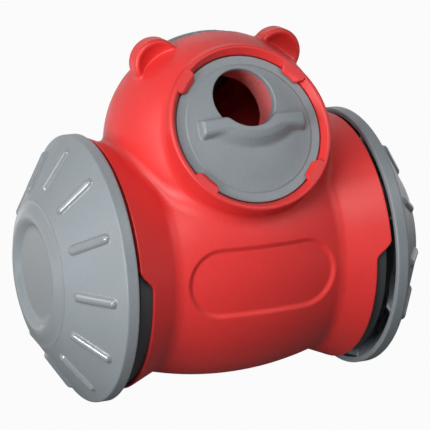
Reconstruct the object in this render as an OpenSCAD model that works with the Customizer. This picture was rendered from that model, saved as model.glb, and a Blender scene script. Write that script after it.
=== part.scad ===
// Rolling treat dispenser: a weighted drum with a ball head and round ears, between two free wheels.
// Origin on the floor under the middle of the axle, X along the axle, the face looking towards -Y.

/* [Wheels] */
// Diameter over the wheel rims
wheel_d = 100; // [99:0.5:106]
// Width of the flat rim band
rim_w = 4.5; // [3.6:0.1:6]
// Thickness of the rim, measured inwards
rim_t = 2.2; // [1.8:0.1:3]
// How far the wheel cone rises from the rim to the hub cap
cone_rise = 15.5; // [14:0.1:17]
// Wall of the wheel cone
wheel_wall = 2.2; // [1.8:0.1:2.6]
// Number of raised bars on a wheel
bar_count = 12; // [8:1:16]
// Number of flats on the tread, a multiple of 4
flat_count = 60; // [48:4:84]
// Width of a raised bar
bar_w = 4; // [2.5:0.1:5]
// Inner end of a raised bar, from the axle
bar_in = 30.2; // [29.5:0.1:32]
// Outer end of a raised bar, from the axle
bar_out = 46.2; // [40:0.1:47]
// Number of ribs inside a wheel
rib_count = 8; // [6:1:12]

/* [Hub] */
// Diameter of the pressed-in hub cap
hub_d = 55; // [50:0.2:56]
// Radius of the flat dish in the hub cap
dish_r = 17.6; // [12:0.1:19]
// How far the hub cap's ring stands above its dish
ring_rise = 2; // [1.2:0.1:3]
// Diameter of the axle post
post_d = 12; // [9:0.1:16]
// Wall of the wheel boss round the post
boss_wall = 3; // [2:0.1:4]
// Radial play of the wheel on its post
run_fit = 0.06; // [0.02:0.01:0.1]

/* [Drum] */
// Width of the drum over its flanges
drum_w = 100.6; // [98:0.1:110]
// Largest radius of the crowned barrel
barrel_r = 46.2; // [45:0.1:47.4]
// Depth of the grooves beside the barrel
groove_deep = 4.7; // [3:0.1:5.2]
// Distance from the flange's edge to the groove
groove_in = 17.2; // [16:0.1:19]
// How far the flared flange stands over the barrel
flange_rise = 2.6; // [2:0.1:3]
// Wall of the drum and of the head
wall = 2.3; // [1.8:0.1:2.6]
// Height above the axle where the flange is cut back
notch_top = 11; // [4:0.5:14]
// How far the flange is cut back below that height
notch_depth = 5.2; // [2:0.1:5.3]

/* [Panel] */
// Distance from the groove to the end of the sunk panel on the front
panel_in = 3.1; // [2.6:0.1:12]
// Height of the sunk panel
panel_h = 27; // [18:0.5:28]
// Depth of the sunk panel
panel_deep = 1.3; // [0.6:0.1:1.5]

/* [Head] */
// Radius of the head
head_r = 42.3; // [41.6:0.1:43]
// Middle of the head above the axle
head_z = 42.5; // [41.5:0.1:44]
// Radius of an ear
ear_r = 9.1; // [8:0.1:12]
// Thickness of an ear
ear_t = 7.6; // [6:0.1:9]
// Lean of an ear from straight up, seen from the front
ear_angle = 36.7; // [34:0.1:42]
// Distance from the middle of the head to the middle of an ear
ear_reach = 41.2; // [39:0.1:43]

/* [Treat port] */
// Tilt of the port from facing straight ahead
port_tilt = 30.4; // [28:0.1:33]
// Middle of the port in front of the axle
port_y = 29.6; // [28:0.1:30.6]
// Middle of the port above the axle
port_z = 54.5; // [53.5:0.1:56]
// Outer radius of the port's lip
lip_r = 31.7; // [31.2:0.1:32]
// How far the lip stands in front of the cover's flange
lip_rise = 2.6; // [2:0.1:3]
// Radius of the treat cover
cover_r = 28; // [27:0.1:28.2]
// Play round the treat cover
cover_play = 0.4; // [0.3:0.05:0.6]
// Radius of the treat hole
hole_r = 11.9; // [8:0.1:12.2]
// Offset of the treat hole from the middle of the cover
hole_up = 11; // [9.5:0.1:11.2]
// Bore of the chute behind the port
chute_r = 14; // [12.6:0.1:14.2]
// Offset of the chute from the middle of the cover
chute_up = 12.2; // [11:0.1:12.4]
// Length of the chute behind the port's floor
chute_l = 13.3; // [6:0.1:14]
// Width of the grip's flat top
grip_w = 5.2; // [3:0.1:5.6]
// Height of the grip above the cover's flange
grip_h = 6.2; // [4.4:0.1:7]

/* [Filler] */
// Tilt of the rear cover from facing straight back
filler_tilt = 40; // [36:0.5:44]
// Radius of the rear cover over its ribs
filler_r = 26.3; // [25.6:0.1:27]
// Distance from the middle of the head to the filler's flat seat
seat_d = 29; // [28.4:0.1:29.6]
// Width of the ribbed band on the rear cover
filler_band = 4.4; // [3:0.1:5]
// Number of ribs round the rear cover
filler_ribs = 44; // [24:1:54]
// Bore of the filler neck
neck_r = 18.6; // [14:0.1:18.8]
// Turn of the rear cover from locked to free
filler_turn = 45; // [40:1:50]

/* [Weight] */
// Height of the counterweight
weight_h = 10.1; // [8:0.1:11]
// Distance from the groove to the end of the counterweight
weight_in = 4.1; // [4:0.1:14]
// Turn of the weight towards the back, which balances the head
weight_lean = 0.5; // [0:0.5:6]

/* [Hidden] */
$fn = 96;

red = [0.86, 0.16, 0.15];
grey = [0.53, 0.56, 0.58];
dark = [0.24, 0.26, 0.27];
steel = [0.70, 0.71, 0.73];

// One overrun for every cut, and the gap between parts that are fixed together
over = 1;
gap = 0.2;
// Gap between parts that slide over each other
slide_gap = 0.3;

// Levels of the wheel, measured outwards along the axle from the middle
axle_z = wheel_d / 2;
flange_x = drum_w / 2;
flange_r = barrel_r + flange_rise;
groove_r = barrel_r - groove_deep;
groove_x = flange_x - groove_in;
rim_gap = 1.55;
rim_x = flange_x + rim_gap;
cone_x = rim_x + rim_w;
crease_x = cone_x + cone_rise;
hub_r = hub_d / 2;
rim_edge = 0.6;
cap_edge = 1.5;
cap_t = 1.8;
dish_lift = 0.15;
dish_x = crease_x + dish_lift;
hub_depth = 7.1;
boss_stand = 1.1;
web_t = 2.4;
boss_x = crease_x - hub_depth;
bore_r = post_d / 2 + run_fit;
boss_r = bore_r + boss_wall;
socket_r = hub_r - 2;
rib_t = 1.4;
rib_set = 0.3;
rib_flat = 3.6;
rib_root = 0.8;
bar_sink = 0.7;
cone_slope = atan2(cone_rise, axle_z - hub_r);

// The end cap is a plug with a band that shows in the flange's cut-back
band_in = 3.9;
band_r = flange_r - band_in;
band_t = 2.4;
plug_r = groove_r;
cap_play = 0.25;
cap_in = 5.4;
plug_l = 4.1;
step_x = flange_x - cap_in;
plug_x = step_x - plug_l;
cap_web = 2.4;
band_end = 0.25;
post_end = boss_x + boss_stand + gap;
gusset_count = 6;
gusset_r = 20;
gusset_h = 4.6;
gusset_t = 1.8;

// Screws: shank radius, head radius, head height; then the shank's length
cap_screw = [1.5, 2.9, 1.9];
cap_screw_l = 13;
pad_in = 4.9;
cap_screw_at = groove_r - pad_in;
cap_screw_angle = 15;
axle_screw = [2, 4.2, 2.3];
axle_screw_l = 15;
lid_screw = [1.25, 2.4, 1.6];
lid_screw_l = 8;
pilot_play = 0.06;
head_edge_share = 0.35;
slot_w = 0.8;
slot_deep_share = 0.5;
washer_r = 8.2;
washer_t = 1;
pad_r = 3.6;

// The port's levels along its own axis, from the flange of the treat cover
flange_t = 2;
floor_z = -flange_t - slide_gap;
floor_t = 2.2;
recess_r = cover_r + cover_play;
lip_t = 1.6;
lip_in = lip_r - lip_t;
lip_round = 0.8;
snout_l = 20;
chute_wall = 1.7;
lug_w = 9.8;
lug_tip_w = 5.8;
lug_in = 2.1;
lug_slope = 1.7;
lug_foot = 0.8;
lug_angle = 41.5;
cover_edge = 0.3;
face_r = 24;
face_rise = 2.6;
cover_wall = 2;
// Wall of the collar round the treat hole, behind the dome
collar_t = 2.4;
// Step from the hole's wall back to the grip's inner wall
grip_set = 0.3;

// The grip: its arc has its middle above the hole's, its arms end to the left and right of the cover's
// middle, and its walls lean outwards to their feet
grip_up = 16;
grip_r = 20.9;
grip_lean = 5.3;
grip_mid = 1.2;
grip_half = 20.6;
grip_shift = 0.8;
grip_arm_lean = 1.9;
grip_back_lean = 0.5;
grip_tip_lean = 0.7;
grip_edge = 0.9;
grip_corner = 2.4;
corner_steps = 3;

// The rear cover's levels along its own axis, from the middle of the head
rib_deep = 0.9;
neck_wall = 2.2;
neck_rise = 3.6;
tab_count = 3;
tab_spare = 7.8;
tab_t = 1.5;
tab_in = 1.5;
hook_w = 11;
stop_turn = 1;
lid_wall = 2.2;

// The drum's bore, the weight's floor and its posts
bore_in = groove_r - wall;
weight_play = 0.5;
lid_gap = 1.2;
lid_t = 2;
lid_end = 1.2;
lid_x = plug_x - lid_end;
lid_post_in = 5;
lid_post_y = 17;
lid_post = [lid_x - lid_post_in, lid_post_y];
lid_post_r = 3.2;

// Frames
module at_axle() {
    translate([0, 0, axle_z]) children();
}

module at_head() {
    translate([0, 0, axle_z + head_z]) children();
}

// The right side, with Z outwards along the axle; s = -1 mirrors it to the left
module at_side(s) {
    mirror([s < 0 ? 1 : 0, 0, 0])
        at_axle()
            rotate([0, 90, 0]) children();
}

// The port, with Z outwards and Y up its face
module at_port() {
    at_axle()
        translate([0, -port_y, port_z])
            rotate([90 - port_tilt, 0, 0]) children();
}

// The filler, with Z outwards and the origin in the middle of the head
module at_filler() {
    at_head()
        rotate([filler_tilt - 90, 0, 0]) children();
}

// The weight, with Z up through the axle
module at_weight() {
    at_axle()
        rotate([weight_lean, 0, 0]) children();
}

// Radius of the crowned barrel at a distance x from the middle, and of the flare beside it
crown = barrel_r - groove_r;
crown_radius = (groove_x * groove_x + crown * crown) / (2 * crown);
crown_steps = 8;
function barrel_at(x) = barrel_r - crown_radius + sqrt(crown_radius * crown_radius - x * x);
function flare_at(x) = groove_r + (flange_r - groove_r) * (x - groove_x) / (flange_x - groove_x);
function barrel_line(inset) =
    [for (i = [-crown_steps : crown_steps])
        [barrel_at(groove_x * i / crown_steps) - inset, groove_x * i / crown_steps]];

// The weight and the end of the panel follow the groove
weight_l = 2 * (groove_x - weight_in);
weight_r = barrel_at(weight_l / 2) - wall - weight_play;
weight_top = weight_r - weight_h;
panel_l = 2 * (groove_x - panel_in);

// A round body about the axle from a half outline of [radius, x]
module about_axle(points) {
    rotate([0, 90, 0])
        rotate_extrude()
            polygon(points);
}

module drum_outside() {
    about_axle(concat([[0, -flange_x], [flange_r, -flange_x]], barrel_line(0),
        [[flange_r, flange_x], [0, flange_x]]));
}

// The bore, and on each side the two steps that take the end cap
module drum_inside() {
    seat = flare_at(plug_x) - wall;
    about_axle(concat([[0, -plug_x], [seat, -plug_x]], barrel_line(wall), [[seat, plug_x], [0, plug_x]]));
    for (s = [-1, 1])
        mirror([s < 0 ? 1 : 0, 0, 0])
            rotate([0, 90, 0]) {
                translate([0, 0, plug_x - gap])
                    cylinder(h = step_x - plug_x + over, r = plug_r + cap_play);
                translate([0, 0, step_x - gap])
                    cylinder(h = flange_x - step_x + over, r = band_r + cap_play);
            }
}

// The cut-back of the flange: an outline across the drum, run from front to back
notch_steps = 8;
notch_x = flange_x - notch_depth;
notch_fall = 8;
module notch() {
    rotate([90, 0, 0])
        linear_extrude(2 * axle_z + over, center = true)
            polygon(concat(
                [[flange_x + over, -axle_z - over], [flange_x + over, notch_top]],
                [for (i = [0 : notch_steps])
                    [notch_x + notch_depth * (1 + cos(180 * i / notch_steps)) / 2,
                        notch_top - notch_fall * i / notch_steps]],
                [[notch_x, -axle_z - over]]));
}

// A stadium sunk into the front of the barrel, its wall sloping down in small steps
panel_steps = 3;
panel_slope = 3.2;
panel_z = 1.2;
module panel() {
    reach = (panel_l - panel_h) / 2;
    for (i = [1 : panel_steps]) {
        r = panel_h / 2 - panel_slope * (i - 1) / (panel_steps - 1);
        difference() {
            translate([0, 0, panel_z])
                rotate([90, 0, 0])
                    linear_extrude(barrel_r + over) {
                        square([2 * reach, 2 * r], center = true);
                        for (s = [-1, 1])
                            translate([s * reach, 0]) circle(r);
                    }
            about_axle(concat([[0, -groove_x]], barrel_line(panel_deep * i / panel_steps),
                [[0, groove_x]]));
        }
    }
}

// The ball of the head, cut flat at the back where the rear cover sits
module ball() {
    difference() {
        at_head() sphere(head_r);
        at_filler()
            translate([0, 0, seat_d]) cylinder(h = head_r, r = 2 * head_r);
    }
}

// An ear: a thick disc with rounded edges and a dish in its front
ear_edge = 1.5;
ear_rim = 1.7;
ear_deep = 3.2;
module ear(s) {
    dish = ear_r - ear_rim;
    dish_ball = (dish * dish + ear_deep * ear_deep) / (2 * ear_deep);
    at_head()
        translate([s * ear_reach * sin(ear_angle), 0, ear_reach * cos(ear_angle)])
            rotate([90, 0, 0])
                difference() {
                    translate([0, 0, -ear_t / 2])
                        rotate_extrude() {
                            square([ear_r - ear_edge, ear_t]);
                            translate([0, ear_edge]) square([ear_r, ear_t - 2 * ear_edge]);
                            for (z = [ear_edge, ear_t - ear_edge])
                                translate([ear_r - ear_edge, z]) circle(ear_edge);
                        }
                    translate([0, 0, ear_t / 2 - ear_deep + dish_ball]) sphere(dish_ball);
                }
}

// The snout: the outside of the port's tube, with a rounded lip
module snout() {
    rotate_extrude()
        polygon(concat(
            [[0, -snout_l], [lip_r, -snout_l]],
            [for (i = [0 : 4])
                [lip_r - lip_round * (1 - cos(22.5 * i)), lip_rise - lip_round * (1 - sin(22.5 * i))]],
            [[0, lip_rise]]));
}

// The seat of the treat cover, which opens like a funnel in front of the cover's flange
module port_seat() {
    rotate_extrude()
        polygon([
            [0, floor_z], [recess_r, floor_z], [recess_r, 0], [lip_in, lip_rise],
            [lip_in, head_r], [0, head_r]
        ]);
}

// Four lugs that hold the treat cover by its flange: narrower inwards, with a sloped face
module lugs() {
    tip = recess_r - lug_in;
    root = lip_in + lip_t / 3;
    for (a = [lug_angle, 180 - lug_angle, 180 + lug_angle, -lug_angle])
        rotate([0, 0, a])
            intersection() {
                rotate_extrude()
                    polygon([
                        [root, slide_gap], [tip, slide_gap], [tip, slide_gap + lug_foot],
                        [tip + lug_slope, lip_rise], [root, lip_rise]
                    ]);
                linear_extrude(2 * lip_rise)
                    polygon([
                        [tip - lug_in, -lug_tip_w / 2], [tip, -lug_tip_w / 2],
                        [recess_r, -lug_w / 2], [2 * recess_r, -lug_w / 2],
                        [2 * recess_r, lug_w / 2], [recess_r, lug_w / 2],
                        [tip, lug_tip_w / 2], [tip - lug_in, lug_tip_w / 2]
                    ]);
            }
}

// The hollow of the head and of the snout, behind the port's floor and below the filler's seat
module head_hollow() {
    difference() {
        union() {
            at_head() sphere(head_r - wall);
            at_port()
                translate([0, 0, -snout_l]) cylinder(h = snout_l, r = recess_r);
        }
        at_port()
            translate([0, 0, floor_z - floor_t]) cylinder(h = head_r, r = 2 * head_r);
        at_filler()
            translate([0, 0, seat_d - wall]) cylinder(h = head_r, r = 2 * head_r);
    }
}

module body_shell() {
    color(red) {
        difference() {
            union() {
                at_axle() drum_outside();
                ball();
                for (s = [-1, 1]) ear(s);
                at_port() snout();
            }
            at_axle() {
                drum_inside();
                for (s = [-1, 1]) mirror([s < 0 ? 1 : 0, 0, 0]) notch();
                panel();
            }
            head_hollow();
            at_port() {
                port_seat();
                translate([0, chute_up, floor_z - floor_t - over])
                    cylinder(h = floor_t + 2 * over, r = chute_r);
            }
            at_filler()
                translate([0, 0, seat_d / 2]) cylinder(h = head_r, r = neck_r);
        }
        at_port() {
            lugs();
            chute();
        }
        at_filler() neck();
        at_axle() cap_pads();
        at_weight() lid_posts();
    }
}

// The chute behind the port's floor
module chute() {
    translate([0, chute_up, floor_z - floor_t - chute_l])
        difference() {
            cylinder(h = chute_l + floor_t / 2, r = chute_r + chute_wall);
            translate([0, 0, -over])
                cylinder(h = chute_l + floor_t + 2 * over, r = chute_r);
        }
}

// The filler neck with its tabs, each closed by a stop at one end. A turn of filler_turn takes the hooks
// past the tabs with tab_spare degrees to spare.
hook_span = 180 * hook_w / (PI * (neck_r + neck_wall));
tab_span = 2 * (filler_turn - tab_spare) - hook_span;
module neck() {
    translate([0, 0, seat_d - wall])
        difference() {
            cylinder(h = wall + neck_rise, r = neck_r + neck_wall);
            translate([0, 0, -over]) cylinder(h = wall + neck_rise + 2 * over, r = neck_r);
        }
    for (i = [0 : tab_count - 1])
        rotate([0, 0, 360 * i / tab_count - tab_span / 2]) {
            rotate_extrude(angle = tab_span)
                translate([neck_r + neck_wall / 2, seat_d + neck_rise - tab_t])
                    square([neck_wall / 2 + tab_in, tab_t]);
            rotate_extrude(angle = (tab_span - hook_span) / 2 - stop_turn)
                translate([neck_r + neck_wall / 2, seat_d - wall / 2])
                    square([neck_wall / 2 + tab_in, neck_rise + wall / 2 - tab_t / 2]);
        }
}

function screw_angles() =
    [90 - cap_screw_angle, 90 + cap_screw_angle, 270 - cap_screw_angle, 270 + cap_screw_angle];

// Pads on the bore for the end cap's screws
module cap_pads() {
    for (s = [-1, 1], a = screw_angles())
        mirror([s < 0 ? 1 : 0, 0, 0])
            rotate([0, 90, 0])
                rotate([0, 0, a])
                    translate([cap_screw_at, 0, plug_x - cap_screw_l])
                        difference() {
                            cylinder(h = cap_screw_l - gap, r = pad_r);
                            translate([0, 0, over])
                                cylinder(h = cap_screw_l, r = cap_screw[0] + pilot_play);
                        }
}

// Posts that carry the floor over the weight
module lid_posts() {
    top = -weight_top + lid_gap;
    intersection() {
        rotate([0, 90, 0]) cylinder(h = drum_w, r = bore_in + wall / 2, center = true);
        for (x = [-lid_post[0], lid_post[0]], y = [-lid_post[1], lid_post[1]])
            translate([x, y, -barrel_r])
                difference() {
                    cylinder(h = barrel_r + top - gap, r = lid_post_r);
                    translate([0, 0, barrel_r + top - lid_screw_l])
                        cylinder(h = barrel_r, r = lid_screw[0] + pilot_play);
                }
    }
}

// The treat cover, in the port's frame: a flange, a low dome, the treat hole and the grip
module treat_cover() {
    dome_r = (face_r * face_r + face_rise * face_rise) / (2 * face_rise);
    color(grey)
        at_port()
            difference() {
                union() {
                    rotate_extrude()
                        polygon([
                            [0, -flange_t], [cover_r, -flange_t], [cover_r, -cover_edge],
                            [cover_r - cover_edge, 0], [0, 0]
                        ]);
                    intersection() {
                        translate([0, 0, face_rise - dome_r]) sphere(dome_r);
                        translate([0, 0, -flange_t / 2]) cylinder(h = flange_t + face_rise, r = face_r);
                    }
                    difference() {
                        grip(dome_r);
                        translate([0, hole_up, -over])
                            cylinder(h = grip_h + 2 * over, r = hole_r + grip_set);
                    }
                }
                translate([0, hole_up, -flange_t - over])
                    cylinder(h = flange_t + grip_h + 2 * over, r = hole_r);
                cover_back(dome_r);
            }
}

// The hollow behind the dome, which leaves a collar round the hole
module cover_back(dome_r) {
    difference() {
        intersection() {
            translate([0, 0, face_rise - dome_r]) sphere(dome_r - cover_wall);
            translate([0, 0, -flange_t - over])
                cylinder(h = 2 * flange_t + face_rise, r = face_r - cover_wall);
        }
        translate([0, hole_up, -flange_t - 2 * over])
            cylinder(h = 4 * flange_t + face_rise, r = hole_r + collar_t);
    }
}

// The grip: an arc under the hole that runs out into two straight arms, like a smile.
// Its top follows the dome; a cut round the hole gives the arc its inner wall.
module grip(dome_r) {
    half = grip_w / 2;
    shoulder = grip_h - grip_edge;
    back = grip_mid + half;
    front = grip_mid - half;
    tip = grip_half + grip_tip_lean;
    intersection() {
        translate([grip_shift, 0, grip_h - dome_r]) sphere(dome_r);
        translate([grip_shift, 0, 0])
            union() {
                intersection() {
                    translate([0, grip_up, 0])
                        rotate_extrude()
                            polygon([
                                [0, 0], [grip_r + grip_lean, 0], [grip_r, shoulder],
                                [grip_r - grip_edge, grip_h], [0, grip_h]
                            ]);
                    grip_bar([
                        [-2 * cover_r, 0], [back + grip_back_lean, 0], [back, shoulder],
                        [back - grip_edge, grip_h], [-2 * cover_r, grip_h]
                    ]);
                    translate([0, 0, grip_h / 2])
                        cube([2 * (tip - grip_corner), 2 * cover_r, 2 * grip_h], center = true);
                }
                intersection() {
                    grip_bar([
                        [front - grip_arm_lean, 0], [back + grip_back_lean, 0], [back, shoulder],
                        [back - grip_edge, grip_h], [front + grip_edge, grip_h], [front, shoulder]
                    ]);
                    rotate([90, 0, 0])
                        linear_extrude(2 * cover_r, center = true)
                            polygon([
                                [-tip, 0], [tip, 0], [grip_half, shoulder - 2 * grip_edge],
                                [grip_half - 2 * grip_edge, grip_h], [2 * grip_edge - grip_half, grip_h],
                                [-grip_half, shoulder - 2 * grip_edge]
                            ]);
                    linear_extrude(grip_h)
                        polygon([for (q = [0 : 3], i = [0 : corner_steps])
                            let(a = 90 * q + 90 * i / corner_steps)
                                [(q == 0 || q == 3 ? 1 : -1) * (tip - grip_corner) + grip_corner * cos(a),
                                    (q < 2 ? back + grip_back_lean - grip_corner
                                        : front - grip_arm_lean + grip_corner) + grip_corner * sin(a)]]);
                }
            }
    }
}

// A bar across the cover, from its outline of [height up the face, height over it]
module grip_bar(outline) {
    rotate([90, 0, 90])
        linear_extrude(2 * cover_r, center = true)
            polygon(outline);
}

// The rear cover: a ribbed band, a back that completes the ball, and hooks under the neck's tabs
module rear_cover() {
    low = seat_d + slide_gap;
    skirt_in = neck_r + neck_wall + tab_in + slide_gap;
    hook_top = seat_d + neck_rise - tab_t - slide_gap;
    inner_r = filler_r - rib_deep;
    color(grey)
        at_filler() {
            difference() {
                union() {
                    translate([0, 0, low])
                        linear_extrude(filler_band - slide_gap)
                            polygon([for (i = [0 : 4 * filler_ribs - 1])
                                (i % 4 < 2 ? filler_r : inner_r)
                                    * [cos(90 * i / filler_ribs), sin(90 * i / filler_ribs)]]);
                    intersection() {
                        sphere(head_r);
                        translate([0, 0, seat_d + over]) cylinder(h = head_r, r = inner_r);
                    }
                }
                intersection() {
                    sphere(head_r - lid_wall);
                    translate([0, 0, low - over]) cylinder(h = head_r, r = skirt_in);
                }
            }
            for (i = [0 : tab_count - 1])
                rotate([0, 0, 360 * i / tab_count - hook_span / 2])
                    rotate_extrude(angle = hook_span)
                        translate([neck_r + neck_wall + slide_gap, low])
                            square([tab_in + rib_deep, hook_top - low]);
        }
}

// An end cap: plug, showing band, web and the post that the wheel turns on
module end_cap(s) {
    color(dark)
        at_side(s)
            difference() {
                union() {
                    rotate_extrude()
                        polygon([
                            [0, step_x - cap_web], [plug_r - band_t, step_x - cap_web],
                            [plug_r - band_t, plug_x + gap], [plug_r, plug_x + gap],
                            [plug_r, step_x], [band_r, step_x],
                            [band_r, flange_x - band_end - rim_edge],
                            [band_r - rim_edge, flange_x - band_end],
                            [band_r - band_t, flange_x - band_end],
                            [band_r - band_t, step_x + cap_web / 2], [0, step_x + cap_web / 2]
                        ]);
                    translate([0, 0, step_x]) cylinder(h = post_end - step_x, r = post_d / 2);
                    for (i = [0 : gusset_count - 1])
                        rotate([0, 0, 360 * i / gusset_count])
                            rotate([90, 0, 0])
                                linear_extrude(gusset_t, center = true)
                                    polygon([
                                        [0, step_x], [gusset_r, step_x],
                                        [gusset_r, step_x + cap_web / 2],
                                        [boss_r, step_x + gusset_h], [0, step_x + gusset_h]
                                    ]);
                    for (a = screw_angles())
                        rotate([0, 0, a])
                            translate([cap_screw_at, 0, plug_x + gap])
                                cylinder(h = step_x - plug_x, r = pad_r - gap);
                }
                translate([0, 0, post_end - axle_screw_l - over])
                    cylinder(h = axle_screw_l + 2 * over, r = axle_screw[0] + pilot_play);
                for (a = screw_angles())
                    rotate([0, 0, a])
                        translate([cap_screw_at, 0, plug_x])
                            cylinder(h = 2 * (step_x - plug_x), r = cap_screw[0] + gap);
            }
}

// A screw with its head's seat at z = 0 and its shank below
module screw(size, l) {
    difference() {
        union() {
            rotate_extrude()
                polygon(concat([[0, 0], [size[1], 0]],
                    [for (i = [1 : 6]) [size[1] * cos(15 * i),
                        size[2] * (head_edge_share + (1 - head_edge_share) * sin(15 * i))]]));
            translate([0, 0, -l]) cylinder(h = l + size[2] / 4, r = size[0]);
        }
        for (a = [0, 90])
            rotate([0, 0, a])
                translate([-size[1] / 2, -slot_w / 2, size[2] * (1 - slot_deep_share)])
                    cube([size[1], slot_w, size[2]]);
    }
}

module cap_screws(s) {
    color(steel)
        at_side(s)
            for (a = screw_angles())
                rotate([0, 0, a])
                    translate([cap_screw_at, 0, step_x + cap_web / 2])
                        screw(cap_screw, cap_screw_l);
}

module axle_screw(s) {
    color(steel)
        at_side(s)
            translate([0, 0, post_end + washer_t])
                screw(axle_screw, axle_screw_l);
}

module washer(s) {
    color(steel)
        at_side(s)
            translate([0, 0, post_end])
                difference() {
                    cylinder(h = washer_t, r = washer_r);
                    translate([0, 0, -over])
                        cylinder(h = washer_t + 2 * over, r = axle_screw[0] + gap);
                }
}

// A wheel: rim, cone, hub socket, boss, inner ribs and the raised bars
module wheel(s) {
    drop = wheel_wall / cos(cone_slope);
    seat_r = hub_r + gap;
    wall_r = socket_r + wheel_wall;
    rim_in = axle_z - rim_t;
    bar_r = bar_w / 2;
    boss_in = step_x + gusset_h + gap;
    tread_r = axle_z / cos(180 / flat_count) + gap / 5;
    function cone_at(r) = cone_x + (axle_z - r) * tan(cone_slope);
    color(grey)
        at_side(s) {
            intersection() {
                rotate_extrude()
                    polygon([
                        [rim_in, rim_x + rim_edge], [rim_in + rim_edge, rim_x],
                        [axle_z - rim_edge, rim_x], [tread_r, rim_x + rim_edge],
                        [tread_r, cone_x - rim_edge / 2], [axle_z - rim_edge, cone_at(axle_z - rim_edge)],
                        [seat_r, cone_at(seat_r)], [seat_r, crease_x - cap_edge],
                        [socket_r, crease_x - cap_edge], [socket_r, boss_x],
                        [boss_r, boss_x], [boss_r, boss_x + boss_stand],
                        [bore_r, boss_x + boss_stand], [bore_r, boss_in],
                        [boss_r, boss_in], [boss_r, boss_x - web_t],
                        [wall_r, boss_x - web_t], [wall_r, cone_at(wall_r) - drop],
                        [rim_in, cone_at(rim_in) - drop]
                    ]);
                tread_flats(2 * crease_x);
            }
            for (i = [0 : rib_count - 1])
                rotate([0, 0, 360 * (i + 0.5) / rib_count])
                    rotate([90, 0, 0])
                        linear_extrude(rib_t, center = true)
                            polygon([
                                [rim_in + rib_root, rim_x + rib_set], [rim_in - rib_flat, rim_x + rib_set],
                                [wall_r - rib_root, boss_x - web_t],
                                [wall_r - rib_root, cone_at(wall_r) - drop / 2],
                                [rim_in + rib_root, cone_at(rim_in) - drop / 2]
                            ]);
            for (i = [0 : bar_count - 1])
                rotate([0, 0, 360 * i / bar_count])
                    translate([bar_in + bar_r, 0, cone_at(bar_in + bar_r) - bar_sink])
                        rotate([0, 90 + cone_slope, 0])
                            bar((bar_out - bar_in - bar_w) / cos(cone_slope), bar_r);
        }
}

// The tread's flats, a few hundredths of a millimetre deep, on which the toy stands still on a level floor
module tread_flats(l) {
    linear_extrude(l)
        polygon([for (i = [0 : flat_count - 1])
            axle_z / cos(180 / flat_count)
                * [cos(360 * (i + 0.5) / flat_count), sin(360 * (i + 0.5) / flat_count)]]);
}

// A rod with round ends, from the origin up
module bar(l, r) {
    rotate_extrude()
        intersection() {
            union() {
                translate([-r, 0]) square([2 * r, l]);
                circle(r);
                translate([0, l]) circle(r);
            }
            translate([0, -r]) square([r, l + 2 * r]);
        }
}

// The hub cap: a round cap with a raised ring about a flat dish, and a skirt in the wheel's socket
ring_steps = 12;
module hub_cap(s) {
    skirt_r = socket_r - gap;
    under = crease_x - cap_edge + gap;
    color(grey)
        at_side(s)
            rotate_extrude()
                polygon(concat(
                    [[0, dish_x], [dish_r, dish_x]],
                    [for (i = [1 : ring_steps - 1])
                        [dish_r + (hub_r - dish_r) * i / ring_steps,
                            dish_x + ring_rise * pow(sin(180 * i / ring_steps), 2)]],
                    [[hub_r, crease_x], [hub_r, under], [skirt_r, under],
                        [skirt_r, boss_x + gap], [skirt_r - cap_t, boss_x + gap],
                        [skirt_r - cap_t, dish_x - cap_t], [0, dish_x - cap_t]]));
}

// The counterweight: a cast block with a flat top, which fills the bottom of the drum
module counterweight() {
    color(dark)
        at_weight()
            intersection() {
                rotate([0, 90, 0])
                    cylinder(h = weight_l, r = weight_r, center = true);
                translate([0, 0, -weight_top - barrel_r])
                    cube([2 * weight_l, 2 * barrel_r, 2 * barrel_r], center = true);
            }
}

// The floor over the weight, which keeps the food off it
module weight_cover() {
    z = -weight_top + lid_gap;
    color(red)
        at_weight()
            difference() {
                intersection() {
                    rotate([0, 90, 0])
                        cylinder(h = 2 * lid_x, r = bore_in - weight_play, center = true);
                    translate([0, 0, z + lid_t / 2])
                        cube([2 * drum_w, 2 * barrel_r, lid_t], center = true);
                }
                for (x = [-lid_post[0], lid_post[0]], y = [-lid_post[1], lid_post[1]])
                    translate([x, y, z - over])
                        cylinder(h = lid_t + 2 * over, r = lid_screw[0] + gap);
            }
}

module weight_cover_screws() {
    z = -weight_top + lid_gap + lid_t;
    color(steel)
        at_weight()
            for (x = [-lid_post[0], lid_post[0]], y = [-lid_post[1], lid_post[1]])
                translate([x, y, z]) screw(lid_screw, lid_screw_l);
}

body_shell();
treat_cover();
rear_cover();
end_cap(-1);  // left_end_cap
end_cap(1);  // right_end_cap
cap_screws(-1);  // left_cap_screws
cap_screws(1);  // right_cap_screws
wheel(-1);  // left_wheel
wheel(1);  // right_wheel
hub_cap(-1);  // left_hub_cap
hub_cap(1);  // right_hub_cap
washer(-1);  // left_washer
washer(1);  // right_washer
axle_screw(-1);  // left_axle_screw
axle_screw(1);  // right_axle_screw
counterweight();
weight_cover();
weight_cover_screws();
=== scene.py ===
"""Looks for the rolling treat dispenser: the CAD's shapes again, with the soft edges of moulded parts.

Each skin is the zero surface of a distance field in millimetres, negative inside. The body and the wheels are
measured from the axle's middle, and each cover in the frame of the opening that it closes.
"""
import math

import bmesh
import bpy
import numpy as np
from mathutils import Matrix, Vector


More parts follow.
